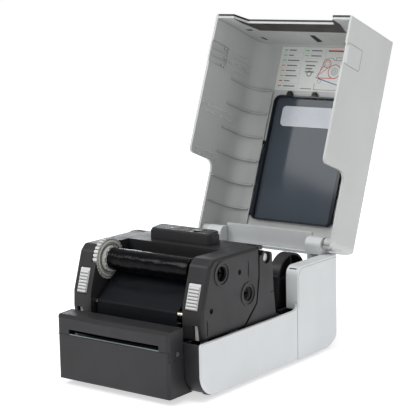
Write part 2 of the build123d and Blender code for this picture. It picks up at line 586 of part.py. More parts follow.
def print_head():
    """The finned head with its ceramic strip just above the platen."""
    bottom = PLATEN[1] + PLATEN_R + 0.62
    head = side_plate([(-110, bottom + 1.2, 0.8), (-104, bottom), (-86, bottom + 1.6, 0.5), (-86, 66, 1),
                       (-110, 66, 2)], -57, 57)
    for i in range(12):
        x = -52.25 + 9.5 * i
        head -= block(x - 1.6, x + 1.6, -108, -96, 62.5, 67)
    return head


def head_springs():
    """Four compression springs between the head and its beam, drawn as sleeves."""
    sleeve = post(0, -91, 66.1, 73.9, 3) - post(0, -91, 66, 74, 2.2)
    return [Pos(x, 0, 0) * sleeve for x in (-45, -15, 15, 45)]


def guide_rods():
    """Two polished rods that lead the ribbon round the head, seated in the cheeks."""
    reach = CHEEK_IN + 2.4
    return [rod(-reach, reach, centre, 2.95) for centre in (GUIDE_ROD, HEAD_ROD)]


def crossing_tangent(rod_centre, rod_r, roll_centre, roll_r):
    """Where a film touches a rod on its front and a roll on its back, as two (y, z) points."""
    dy, dz = roll_centre[0] - rod_centre[0], roll_centre[1] - rod_centre[1]
    reach = hypot(dy, dz)
    direction = atan2(dz, dy) - asin((rod_r + roll_r) / reach)
    ny, nz = -sin(direction), cos(direction)
    return ((rod_centre[0] + rod_r * ny, rod_centre[1] + rod_r * nz),
            (roll_centre[0] - roll_r * ny, roll_centre[1] - roll_r * nz))


def tangent_from(point, centre, radius):
    """Where a film from a point (y, z) in front of a roll touches the roll's underside."""
    dy, dz = centre[0] - point[0], centre[1] - point[1]
    reach = hypot(dy, dz)
    direction = atan2(dz, dy) - asin(radius / reach)
    length = sqrt(reach ** 2 - radius ** 2)
    return (point[0] + length * cos(direction), point[1] + length * sin(direction))


TAKE_UP_R = 12.5
SUPPLY_R = 20.0
RIBBON_X0, RIBBON_X1 = -57.0, 51.5
WHEEL_R = 22.4
WHEEL_X0, WHEEL_X1 = -67.8, -62.4


def ribbon_web():
    """The film from the supply roll, under the head and over the front rod to the back of the take-up roll."""
    low = PLATEN[1] + PLATEN_R + 0.45
    gap = 0.3
    from_rod, to_roll = crossing_tangent(GUIDE_ROD, 2.95 + gap, TAKE_UP, TAKE_UP_R + gap)
    behind_head = (-79.0, 58.2)
    supply_exit = tangent_from(behind_head, SUPPLY, SUPPLY_R + gap)
    round_rod = [(GUIDE_ROD[0] + (2.95 + gap) * cos(radians(a)), GUIDE_ROD[1] + (2.95 + gap) * sin(radians(a)))
                 for a in (190, 174, 158, 142)]
    return strip([supply_exit, behind_head, (-85.5, low + 1.0), (PLATEN[0], low), (-111.4, low + 1.0),
                  *round_rod, from_rod, to_roll], 0.12, RIBBON_X0, RIBBON_X1)


def spindle(centre, tooth_count):
    """A ribbon spindle: a fluted core, journals in the cheeks and a cross slot in each end."""
    core = rod(-58, 58, centre, 8)
    reach = CHEEK_OUT - 4.5
    core += rod(-reach, reach, centre, 6)
    for out in (-1, 1):
        x0, x1 = sorted((out * (reach - 4), out * reach))
        core -= block(x0, x1, centre[0] - 1.1, centre[0] + 1.1, centre[1] - 4.2, centre[1] + 4.2)
        core -= block(x0, x1, centre[0] - 4.2, centre[0] + 4.2, centre[1] - 1.1, centre[1] + 1.1)
    if tooth_count:
        wheel = rod(WHEEL_X0, WHEEL_X1, centre, WHEEL_R)
        for n in range(tooth_count):
            notch = Rot(360 * n / tooth_count, 0, 0) * block(-69, -61, -0.7, 0.7, WHEEL_R - 1.5, WHEEL_R + 1)
            wheel -= Pos(0, *centre) * notch
        wheel -= rod(WHEEL_X1 - 1.6, WHEEL_X1 + 1, centre, WHEEL_R - 4.2)
        core += wheel + rod(WHEEL_X1 - 2, WHEEL_X1 + 3.4, centre, 14)        # hub and its stepped collar
        core += rod(WHEEL_X1, RIBBON_X0 - 0.2, centre, 11)
    return core


def ribbon_roll(centre, radius):
    """Wound film on a spindle."""
    return rod(RIBBON_X0, RIBBON_X1, centre, radius) - rod(-60, 60, centre, 8.02)


def latch(x0=66.2):
    """The right-hand latch lever: ribbed button in front of the cheek, arm, and hook at the foot."""
    x1 = 81
    face = [(-107.3, 117.6, 1.5), (-115.6, 91.4, 1.5)]
    depth = 3.4
    button = side_plate([face[0], face[1], (face[1][0] + depth, 91.4), (face[0][0] + depth, 117.6)], x0, x1)
    button = button & flat_plate([(x0, -125), (x1, -125), (x1, -95), (x0, -95)], 90, 119)
    lean = (face[1][0] - face[0][0]) / (face[0][1] - face[1][1])
    for i in range(7):
        rib_z = 93.6 + 3.3 * i
        rib_y = face[0][0] + lean * (face[0][1] - rib_z)
        button += rod(x0 + 0.8, x1 - 0.8, (rib_y + 0.2, rib_z), 1.3)
    arm_x0 = 70.5
    neck = side_plate([(-107.6, 113), (-112.9, 96), (-101, 96), (-101, 113)], arm_x0, x1 - 1.5)
    arm = side_plate([(-103, 113), (-106.4, 96), (-103, 80), (-97, 66), (-97, 49.6), (-92, 49.6, 1),
                      (-92, 51.4), (-95.2, 51.4), (-95.2, 66), (-93, 80), (-93.5, 88, 3), (-97, 92),
                      (-100, 113)], arm_x0, x1 - 1.5)
    hook_front = block(75, 81, -111.2, -104.3, 59.6, 75.2)
    link = block(75, x1 - 1.6, -105, -96.9, 62, 68)
    lever = button + neck + arm + hook_front + link
    return lever - rod(x0 - 1, x1 + 1, LATCH_PIVOT, 2.0 + RUN)


POD_Y0, POD_Y1 = -39.2, -18.2
POD_HALF = 41.6
POD_STEP_Z = 151.0                     # top of the pod's lower tier
POD_FRONT_Z, POD_BACK_Z = 153.6, 155.4
POD_INSET = 1.0
BUTTON_X, LIGHT_X = 18.0, -16.0


def pod_plan(inset, radius):
    """The pod's plan, drawn in by inset all round."""
    x, y0, y1 = POD_HALF - inset, POD_Y0 + inset, POD_Y1 - inset
    return flat_plate([(-x, y0, radius), (x, y0, radius), (x, y1, radius), (-x, y1, radius)], 130, 170)


def control_pod():
    """The raised control housing: two tiers with a sloped, bevelled top, and pockets for the light and button."""
    base, y0, y1 = CHEEK_TOP_Z, POD_Y0 + POD_INSET, POD_Y1 - POD_INSET
    lower = block(-POD_HALF, POD_HALF, POD_Y0, POD_Y1, base, POD_STEP_Z) & pod_plan(0, 5)
    upper = side_plate([(y0, POD_STEP_Z), (y0, POD_FRONT_Z), (y1, POD_BACK_Z), (y1, POD_STEP_Z)],
                       -POD_HALF, POD_HALF) & pod_plan(POD_INSET, 4.5)
    upper = chamfer(upper.faces().sort_by(Axis.Z)[-1].edges(), 1.2)
    pod = lower + upper
    pod -= block(-POD_HALF + 2.5, POD_HALF - 2.5, POD_Y0 + 2.5, POD_Y1 - 2.5, base - 1, 147)
    middle = (POD_Y0 + POD_Y1) / 2
    pod -= post(BUTTON_X, middle, 146, 160, 5.2)
    pod -= post(LIGHT_X, middle, 146, 160, 2.2)
    return pod


def pivot_bracket():
    """The right-hand upright, fixed to the deck, that carries the carriage's pivot pin."""
    body = side_plate([(-13.6, 132, 3), (-9, 137, 3), (9.6, 132, 4), (12, 91, 3), (17, DECK_TOP_Z + 0.01),
                       (-44, DECK_TOP_Z + 0.01), (-43.4, 57.6), (-18.4, 81.4, 5), (-13.6, 109, 6)],
                      BAY_HALF, CHEEK_OUT)
    body = body & (rod(70, 90, (PIVOT_Y, PIVOT_Z), 9.9) + block(70, 90, -60, 30, 40, PIVOT_Z + 4))
    body -= rod(CHEEK_OUT - 2.5, CHEEK_OUT + 1, (PIVOT_Y, PIVOT_Z), 6.5)
    body -= rod(BAY_HALF - 1, CHEEK_OUT + 1, (PIVOT_Y, PIVOT_Z), 4)
    body -= side_plate([(3, 119), (9, 119), (13, DECK_TOP_Z + 4), (3, DECK_TOP_Z + 4)], BAY_HALF - 1,
                       CHEEK_OUT - 3)
    body -= side_plate([(5.6, 88.2), (14, 88.2), (14, 89), (5.6, 89)], CHEEK_OUT - 0.6, CHEEK_OUT + 1)
    return body


def pivot_pins():
    """Two steel pins, held in the brackets, that the carriage turns on."""
    return both_sides(rod(72.5, CHEEK_OUT - 2.6, (PIVOT_Y, PIVOT_Z), 4))


# ---- lid, drawn closed ----
TRIM_Y = LID_FRONT + 2.8          # back of the dark trim
LID_INNER_FRONT = TRIM_Y + 2.5
WINDOW = (-56.0, -53.0, 56.0, 104.0)      # x0, y0, x1, y1 of the opening in the lid's top
POD_WINDOW = (-43.0, -40.5, 43.0, -15.5)  # cut-out in the window over the control pod
RIB_Y = [-58.4 + 30.2 * i for i in range(6)]


def swing(shape):
    """Turn a closed lid piece to its open rest place."""
    hinge = Axis((0, HINGE_Y, HINGE_Z), (1, 0, 0))
    if isinstance(shape, list):
        return [swing(s) for s in shape]
    return shape.rotate(hinge, -LID_OPEN_DEG)


def front_notch(y0, y1):
    """The space over the cutter that is cut out of the lid's front."""
    return front_plate([(-69, 50), (69, 50), (69, 62.5), (60.5, 81, 2), (-60.5, 81, 2), (-69, 62.5)], y0, y1)


def lid_shell():
    """The white lid: side walls, rounded top, notched front and the lugs at the hinge."""
    top, low, high = LID_TOP_Z, LID_LOW_RIM_Z, LID_HIGH_RIM_Z
    step = STEP_Y - 1.6
    side = side_plate([(LID_FRONT, low, 1.5), (LID_FRONT, top, 9), (BASE_REAR, top, 15), (BASE_REAR, high, 7),
                       (step, high, 11.5), (step, low, 6.5)], -HALF, HALF)
    section = front_plate([(-HALF, 0), (HALF, 0), (HALF, top, 8), (-HALF, top, 8)], -140, 150)
    plan = flat_plate([(-HALF, LID_FRONT, 2.5), (HALF, LID_FRONT, 2.5), (HALF, BASE_REAR, 10),
                       (-HALF, BASE_REAR, 10)], 0, 200)
    shell = side & section & plan
    inner_half = HALF - WALL
    inner_top = top - WALL
    cavity = front_plate([(-inner_half, 0), (inner_half, 0), (inner_half, inner_top, 18),
                          (-inner_half, inner_top, 18)], -140, 150)
    room = side_plate([(LID_INNER_FRONT, 0), (LID_INNER_FRONT, inner_top, 3),
                       (BASE_REAR - WALL, inner_top, 12), (BASE_REAR - WALL, 0)], -HALF, HALF)
    shell -= cavity & room
    shell -= front_plate([(-inner_half, 0), (inner_half, 0), (inner_half, inner_top, 6),
                          (-inner_half, inner_top, 6)], LID_FRONT - 1, TRIM_Y)
    shell -= front_notch(LID_FRONT - 1, LID_INNER_FRONT + 1)
    shell -= block(-81.2, 81.2, 122, 140, 100, 132)                      # clears knuckles and riser
    x0, y0, x1, y1 = WINDOW
    shell -= flat_plate([(x0, y0, 9), (x1, y0, 9), (x1, y1, 5), (x0, y1, 5)], inner_top - 2, top + 1)
    rib_face = [(-inner_half - 1, 112), (inner_half + 1, 112), (inner_half + 1, inner_top + 1, 18),
                (-inner_half - 1, inner_top + 1, 18)]
    rib_hole = [(-inner_half + 2.2, 100), (inner_half - 2.2, 100), (inner_half - 2.2, inner_top - 2.2, 18),
                (-inner_half + 2.2, inner_top - 2.2, 18)]
    for y in RIB_Y:
        ring = front_plate(rib_face, y - 0.7, y + 0.7) - front_plate(rib_hole, y - 1, y + 1)
        shell += ring - block(-65, 65, y - 1, y + 1, 100, top)
    lug = rod(81.2, 92.5, (HINGE_Y, HINGE_Z), 6.6)
    lug += side_plate([(124, HINGE_Z), (124, 134, 3), (133.5, 138), (133.5, HINGE_Z)], 81.2, 92.5)
    lug -= rod(80, 91.6, (HINGE_Y, HINGE_Z), 2.5 + RUN)
    shell += lug + mirrored(lug)
    for side in (-1, 1):                                                 # finger grips in the side rims
        x = side * (HALF - WALL)
        shell -= block(min(x, x + side * 1.2), max(x, x + side * 1.2), -92, -66, low - 1, 96)
    return shell


def lid_trim():
    """The dark panel set into the lid's front."""
    inner_half, inner_top = HALF - WALL - 0.2, LID_TOP_Z - WALL - 0.2
    trim = front_plate([(-inner_half, LID_LOW_RIM_Z, 1), (inner_half, LID_LOW_RIM_Z, 1),
                        (inner_half, inner_top, 6), (-inner_half, inner_top, 6)], LID_FRONT + 0.3, TRIM_Y)
    return trim - front_notch(LID_FRONT - 1, TRIM_Y + 1)


def lid_window():
    """The smoked window: a pane in the lid's top with a turned-down edge and snap arms inside."""
    x0, y0, x1, y1 = WINDOW
    gap = 0.25
    pane_top = LID_TOP_Z - 0.6
    pane = flat_plate([(x0 + gap, y0 + gap, 9), (x1 - gap, y0 + gap, 9), (x1 - gap, y1 - gap, 5),
                       (x0 + gap, y1 - gap, 5)], pane_top - 2, pane_top)
    skirt = flat_plate([(x0 + gap, y0 + gap, 9), (x1 - gap, y0 + gap, 9), (x1 - gap, y1 - gap, 5),
                        (x0 + gap, y1 - gap, 5)], pane_top - 7, pane_top - 1.9)
    skirt -= flat_plate([(x0 + 2, y0 + 2, 7.5), (x1 - 2, y0 + 2, 7.5), (x1 - 2, y1 - 2, 3.5),
                         (x0 + 2, y1 - 2, 3.5)], pane_top - 8, pane_top)
    window = pane + skirt
    a0, b0, a1, b1 = POD_WINDOW
    window -= flat_plate([(a0, b0, 5), (a1, b0, 5), (a1, b1, 5), (a0, b1, 5)], 150, 170)
    for side in (-1, 1):                                                 # snap arms
        inner, outer = sorted((side * 55.6, side * 58.4))
        window += block(inner, outer, 22, 100, 158.2, 160.2)
    for x in (-36, 0, 36):                                               # clips at the front edge
        window += block(x - 3.5, x + 3.5, y0 - 3.4, y0 + 1.6, 160.4, 162.8)
    return window


def instruction_label():
    """The loading guide stuck inside the lid's top."""
    z = LID_TOP_Z - WALL
    return flat_plate([(-61, -115.8, 2), (61, -115.8, 2), (61, -60.2, 2), (-61, -60.2, 2)], z - 0.25, z)


# ---- the whole machine ----
def build():
    """Fill parts with every node, drawn about the casing's own centre."""
    panel = front_panel()
    bracket = pivot_bracket()
    right_cheek = cheek()
    holder = roll_holder()
    right_rack_face, left_rack_face = ROLL[0] + 5.2, ROLL[0] - 5.2
    parts["base_tray"] = base_tray()
    parts["right_front_panel"] = panel
    parts["left_front_panel"] = mirrored(panel)
    parts["rear_cover"] = rear_cover()
    parts["hinge_pins"] = hinge_pins()
    parts["rubber_feet"] = rubber_feet()
    parts["media_deck"] = media_deck()
    parts["media_sensor"] = media_sensor()
    parts["media_bay"] = media_bay()
    parts["right_roll_holder"] = holder + rack(right_rack_face, -1)
    parts["left_roll_holder"] = mirrored(holder + rack(left_rack_face, 1))
    parts["holder_pinion"] = holder_pinion()
    platen_parts()
    parts["main_board"] = main_board()
    parts["board_screws"] = board_screws()
    parts["connector_panel"] = connector_panel()
    parts["dc_inlet"] = socket("dc_inlet", 16)
    parts["data_ports"] = [socket("usb_port", 16), socket("lan_port", 18)]
    power_switch()
    cutter_covers()
    cutter_works()
    parts["right_pivot_bracket"] = bracket
    parts["left_pivot_bracket"] = mirrored(bracket)
    parts["pivot_pins"] = pivot_pins()
    parts["right_cheek"] = right_cheek
    parts["left_cheek"] = with_wheel_pocket(mirrored(cheek(67.8)))
    parts["carriage_top"] = carriage_top()
    parts["carriage_frame"] = carriage_frame()
    parts["head_beam"] = head_beam()
    parts["print_head"] = print_head()
    parts["head_springs"] = head_springs()
    parts["ribbon_guide_rods"] = guide_rods()
    parts["ribbon_web"] = ribbon_web()
    parts["take_up_spindle"] = spindle(TAKE_UP, 32)
    parts["take_up_roll"] = ribbon_roll(TAKE_UP, TAKE_UP_R)
    parts["supply_spindle"] = spindle(SUPPLY, 0)
    parts["supply_roll"] = ribbon_roll(SUPPLY, SUPPLY_R)
    parts["right_latch"] = latch()
    parts["left_latch"] = mirrored(latch(68.4))                           # clears the hand wheel
    parts["control_pod"] = control_pod()
    middle = (POD_Y0 + POD_Y1) / 2
    parts["feed_button"] = post(BUTTON_X, middle, 146, 155.1, 4.9) + post(BUTTON_X, middle, 145, 146.2, 6.4)
    parts["status_light"] = post(LIGHT_X, middle, 147.2, 154.7, 2.2)
    parts["lid_shell"] = swing(lid_shell())
    parts["lid_front_trim"] = swing(lid_trim())
    parts["lid_window"] = swing(lid_window())
    parts["instruction_label"] = swing(instruction_label())


def export():
    """Centre the machine on its bounding box and write one STEP file for each node."""
    os.makedirs("parts", exist_ok=True)
    boxes = [s.bounding_box() for p in parts.values() for s in (p if isinstance(p, list) else [p])]
    middle_y = (min(b.min.Y for b in boxes) + max(b.max.Y for b in boxes)) / 2
    print("nodes", len(parts), "y of the box centre", round(middle_y, 4))
    for name, shape in parts.items():
        solids = [s for p in (shape if isinstance(shape, list) else [shape]) for s in p.solids()]
        whole = Compound(children=[Pos(0, -middle_y, 0) * s for s in solids]) if len(solids) > 1 \
            else Pos(0, -middle_y, 0) * solids[0]
        export_step(whole, f"parts/{name}.step")


build()
export()
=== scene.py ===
"""Looks for the desktop label maker: materials, moulded details, ribbon, guide sticker, lights and camera."""
import json
import math

import bmesh
import bpy
from mathutils import Matrix, Vector, noise


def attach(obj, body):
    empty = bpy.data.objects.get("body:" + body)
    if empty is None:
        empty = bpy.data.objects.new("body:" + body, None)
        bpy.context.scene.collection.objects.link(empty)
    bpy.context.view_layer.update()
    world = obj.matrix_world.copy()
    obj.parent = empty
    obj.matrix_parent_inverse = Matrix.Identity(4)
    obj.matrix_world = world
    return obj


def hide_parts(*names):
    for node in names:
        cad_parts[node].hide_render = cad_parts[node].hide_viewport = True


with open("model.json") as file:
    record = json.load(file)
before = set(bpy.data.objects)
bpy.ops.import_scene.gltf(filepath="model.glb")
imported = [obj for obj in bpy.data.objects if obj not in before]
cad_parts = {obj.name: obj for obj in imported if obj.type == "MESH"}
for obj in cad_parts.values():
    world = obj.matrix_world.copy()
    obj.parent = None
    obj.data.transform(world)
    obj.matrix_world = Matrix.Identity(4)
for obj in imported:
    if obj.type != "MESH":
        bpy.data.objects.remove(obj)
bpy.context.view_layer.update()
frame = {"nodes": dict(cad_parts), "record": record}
nodes = frame["nodes"]
MM = 0.001


# ---- materials ----
class Graph:
    """A material's node graph, with short calls for the nodes used here."""

    def __init__(self, name):
        self.material = bpy.data.materials.new(name)
        self.material.use_nodes = True
        self.tree = self.material.node_tree
        self.shader = self.tree.nodes["Principled BSDF"]
        self.place = self.add("ShaderNodeTexCoord").outputs["Object"]

    def add(self, kind, **values):
        node = self.tree.nodes.new(kind)
        for key, value in values.items():
            if key in node.inputs:
                node.inputs[key].default_value = value
            else:
                setattr(node, key, value)
        return node

    def link(self, source, target):
        self.tree.links.new(source, target)

    def set(self, **values):
        for key, value in values.items():
            self.shader.inputs[key.replace("_", " ")].default_value = value

    def noise(self, scale, detail=2.0, stretch=None):
        texture = self.add("ShaderNodeTexNoise", Scale=scale, Detail=detail)
        source = self.place
        if stretch:
            mapping = self.add("ShaderNodeMapping", Scale=stretch)
            self.link(source, mapping.inputs["Vector"])
            source = mapping.outputs["Vector"]
        self.link(source, texture.inputs["Vector"])
        return texture.outputs["Fac"]

    def ramp(self, source, low, high, out_low, out_high):
        node = self.add("ShaderNodeMapRange")
        for key, value in (("From Min", low), ("From Max", high), ("To Min", out_low), ("To Max", out_high)):
            node.inputs[key].default_value = value
        self.link(source, node.inputs["Value"])
        return node.outputs["Result"]

    def tint(self, factor, low, high):
        """Colour that goes from low to high with the factor."""
        mix = self.add("ShaderNodeMix", data_type="RGBA")
        mix.inputs[6].default_value = (*low, 1)
        mix.inputs[7].default_value = (*high, 1)
        self.link(factor, mix.inputs[0])
        self.link(mix.outputs[2], self.shader.inputs["Base Color"])

    def paint_crevice_shade(self, depth, reach=0.003):
        """Darken the colour where surfaces meet: painted shade in corners and crevices."""
        old = self.shader.inputs["Base Color"].links[0].from_socket
        shade = self.add("ShaderNodeAmbientOcclusion", samples=6, Distance=reach)
        mix = self.add("ShaderNodeMix", data_type="RGBA", blend_type="MULTIPLY")
        mix.inputs["Factor"].default_value = 1.0
        tone = self.ramp(shade.outputs["AO"], 0.15, 0.9, 1 - depth, 1)
        self.link(old, mix.inputs["A"])
        self.link(tone, mix.inputs["B"])
        self.link(mix.outputs["Result"], self.shader.inputs["Base Color"])

    def bump(self, height, distance, strength=1.0, edge=0):
        node = self.add("ShaderNodeBump", Strength=strength, Distance=distance)
        self.link(height, node.inputs["Height"])
        if edge:
            soft = self.add("ShaderNodeBevel", samples=4, Radius=edge)
            self.link(soft.outputs["Normal"], node.inputs["Normal"])
        self.link(node.outputs["Normal"], self.shader.inputs["Normal"])


def moulded(name, low, high, rough, grain=1400, depth=0.00004, swing=0.06, edge=0.0004, shine=0.4):
    """Injection-moulded plastic: fine spark grain, faint flow marks in tone and gloss, softened edges, painted shade
    where surfaces meet.
    """
    g = Graph(name)
    g.tint(g.ramp(g.noise(18, 3), 0.3, 0.7, 0, 1), low, high)
    g.link(g.ramp(g.noise(60, 4), 0.3, 0.7, rough - swing, rough + swing), g.shader.inputs["Roughness"])
    # painted shade: colour darkened where surfaces meet
    g.paint_crevice_shade(0.45)
    g.bump(g.noise(grain, 3), depth, 0.5, edge)
    g.set(Specular_IOR_Level=shine)
    return g.material


def metal(name, low, high, rough, along=(1, 40, 40)):
    """Metal with fine lines along one axis."""
    g = Graph(name)
    lines = g.noise(120, 4, along)
    g.tint(lines, low, high)
    g.link(g.ramp(lines, 0.3, 0.7, rough - 0.06, rough + 0.08), g.shader.inputs["Roughness"])
    g.bump(lines, 0.00002, 0.4)
    g.set(Metallic=1.0)
    return g.material


def rubber(name):
    g = Graph(name)
    g.tint(g.noise(40, 4), (0.012, 0.012, 0.013), (0.028, 0.028, 0.03))
    g.bump(g.noise(900, 3), 0.00006, 0.6)
    g.set(Roughness=0.72)
    return g.material


def paper(name):
    g = Graph(name)
    g.tint(g.noise(300, 5), (0.66, 0.68, 0.66), (0.74, 0.76, 0.74))
    g.bump(g.noise(1600, 3), 0.00002, 0.4)
    g.set(Roughness=0.62)
    return g.material


def smoked(name, low, high, alpha):
    """Smoked acrylic: dark, polished, partly clear."""
    g = Graph(name)
    g.tint(g.noise(14, 2), low, high)
    g.link(g.ramp(g.noise(30, 3), 0.3, 0.7, 0.06, 0.1), g.shader.inputs["Roughness"])
    g.set(Alpha=alpha, IOR=1.49, Specular_IOR_Level=0.18)
    return g.material


def film(name, low, high, rough, crease, shine=0.5):
    """Black coated ribbon film with long faint creases."""
    g = Graph(name)
    g.tint(g.noise(24, 3, (1, 4, 4)), low, high)
    g.link(g.ramp(g.noise(50, 4, (0.4, 3, 3)), 0.3, 0.7, rough - 0.08, rough + 0.1), g.shader.inputs["Roughness"])
    g.bump(g.noise(140, 4, (0.25, 2, 2)), crease, 0.4)
    g.set(Specular_IOR_Level=shine)
    return g.material


WHITE = moulded("white_abs", (0.60, 0.62, 0.63), (0.64, 0.66, 0.67), 0.42, depth=0.00002)
# the base's white plastic painted darker for the lid: painted shade on the lid's faces
LID_WHITE_SHADED = moulded("lid_abs_painted_shade", (0.49, 0.505, 0.495), (0.52, 0.535, 0.525), 0.46, depth=0.00002)
DARK = moulded("dark_abs", (0.021, 0.0205, 0.022), (0.028, 0.0275, 0.03), 0.42, shine=0.25)
BLACK = moulded("black_nylon", (0.003, 0.003, 0.004), (0.007, 0.007, 0.008), 0.35, shine=0.22)
ACETAL = moulded("acetal", (0.54, 0.54, 0.51), (0.62, 0.62, 0.59), 0.38)
SMOKED = smoked("smoked_acrylic", (0.045, 0.058, 0.075), (0.056, 0.07, 0.088), 0.93)
SMOKED_EDGE = smoked("smoked_edge", (0.012, 0.016, 0.022), (0.02, 0.025, 0.033), 0.97)
MATERIALS = {
    "white_plastic": WHITE,
    "dark_plastic": DARK,
    "latch_plastic": moulded("latch_abs", (0.58, 0.59, 0.58), (0.64, 0.65, 0.64), 0.4, edge=0.0003),
    "natural_plastic": ACETAL,
    "black_plastic": BLACK,
    "smoked_window": SMOKED,
    "film": film("ribbon_film", (0.0008, 0.0022, 0.0042), (0.002, 0.0042, 0.0068), 0.5, 0.0001, 0.16),
    "steel": metal("zinc_steel", (0.42, 0.42, 0.43), (0.55, 0.55, 0.56), 0.34),
    "blade_steel": metal("ground_steel", (0.12, 0.15, 0.15), (0.2, 0.23, 0.23), 0.4),
    "polished_steel": metal("polished_rod", (0.42, 0.37, 0.29), (0.55, 0.49, 0.4), 0.22),
    "motor_steel": metal("motor_can", (0.3, 0.3, 0.31), (0.4, 0.4, 0.41), 0.4),
    "brass": metal("turned_brass", (0.6, 0.42, 0.16), (0.72, 0.52, 0.24), 0.28),
    "rubber": rubber("black_rubber"),
    "label_paper": paper("coated_paper"),
    "circuit_board": moulded("solder_mask", (0.012, 0.09, 0.04), (0.02, 0.13, 0.06), 0.35),
    "light_lens": moulded("green_lens", (0.05, 0.16, 0.06), (0.08, 0.22, 0.09), 0.2),
}
SEAM = moulded("seam_shadow", (0.006, 0.006, 0.007), (0.012, 0.012, 0.013), 0.7)
RIB_SHADE = moulded("rib_shade", (0.22, 0.22, 0.22), (0.28, 0.28, 0.28), 0.7)
PANE = moulded("pale_pane", (0.50, 0.53, 0.58), (0.53, 0.56, 0.61), 0.3, depth=0.000004)
# lighter than the dark plastic: painted highlight on the pod's bevels; the higher gloss is real
RIM_HIGHLIGHT = moulded("rim_painted_highlight", (0.07, 0.07, 0.075), (0.09, 0.09, 0.095), 0.25, shine=0.7)
# painted shade: lid ribs coloured dark where the hinge corner lies in shade
CELL_SHADE = moulded("hinge_cell_shade", (0.2, 0.18, 0.15), (0.26, 0.24, 0.21), 0.5)
PAINTED_WHEEL_SHADE = moulded("wheel_shadow", (0.16, 0.16, 0.15), (0.22, 0.22, 0.21), 0.6)
# painted shade: dark lines where the white casing's moulded outlines lie in shade
SHADE_LINE = moulded("line_painted_shade", (0.15, 0.155, 0.155), (0.2, 0.205, 0.205), 0.5)
BAND = moulded("band_inside", (0.03, 0.026, 0.024), (0.042, 0.037, 0.034), 0.5)
PIANO = moulded("gloss_panel", (0.006, 0.006, 0.007), (0.01, 0.01, 0.011), 0.1, depth=0.000004, swing=0.03, shine=0.6)


def coat(obj, *materials):
    obj.data.materials.clear()
    for material in materials:
        obj.data.materials.append(material)


def coat_where(obj, base, other, test):
    """Give the faces that pass test(centre, normal) the other material."""
    coat(obj, base, other)
    for face in obj.data.polygons:
        face.material_index = 1 if test(face.center, face.normal) else 0


for part in frame["record"]["subparts"]:
    coat(nodes[part["node"]], MATERIALS[part["material_slot"]])

# ---- places ----
SHIFT_Y = -52.7614                       # mm from the design frame to the middle of the box
HINGE_Y, HINGE_Z = 128.5, 120.0          # the lid's hinge line
GUIDE_ROD, TAKE_UP = (-107.0, 83.0), (-81.0, 124.7)      # y, z of the front rod and the take-up spindle
TO_METRES = Matrix.Scale(MM, 4) @ Matrix.Translation((0, SHIFT_Y, 0))
OPEN_LID = (TO_METRES @ Matrix.Translation((0, HINGE_Y, HINGE_Z)) @ Matrix.Rotation(math.radians(-111), 4, "X")
            @ Matrix.Translation((0, -HINGE_Y, -HINGE_Z)))
CLOSED_LID = OPEN_LID.inverted()

# lid shell in the darker copy of the white: painted shade
coat(nodes["lid_shell"], LID_WHITE_SHADED)
coat_where(nodes["lid_window"], SMOKED, SMOKED_EDGE,
           lambda c, n: (CLOSED_LID @ c).z < 163.2 or abs((CLOSED_LID.to_3x3() @ n).normalized().z) < 0.7)
coat_where(nodes["take_up_spindle"], BLACK, ACETAL,
           lambda c, n: -0.0695 < c.x < -0.0572
           and math.hypot(c.y - (TAKE_UP[0] + SHIFT_Y) * MM, c.z - TAKE_UP[1] * MM) > 0.0062)
coat(nodes["supply_spindle"], BLACK)
coat(nodes["supply_roll"], BLACK)


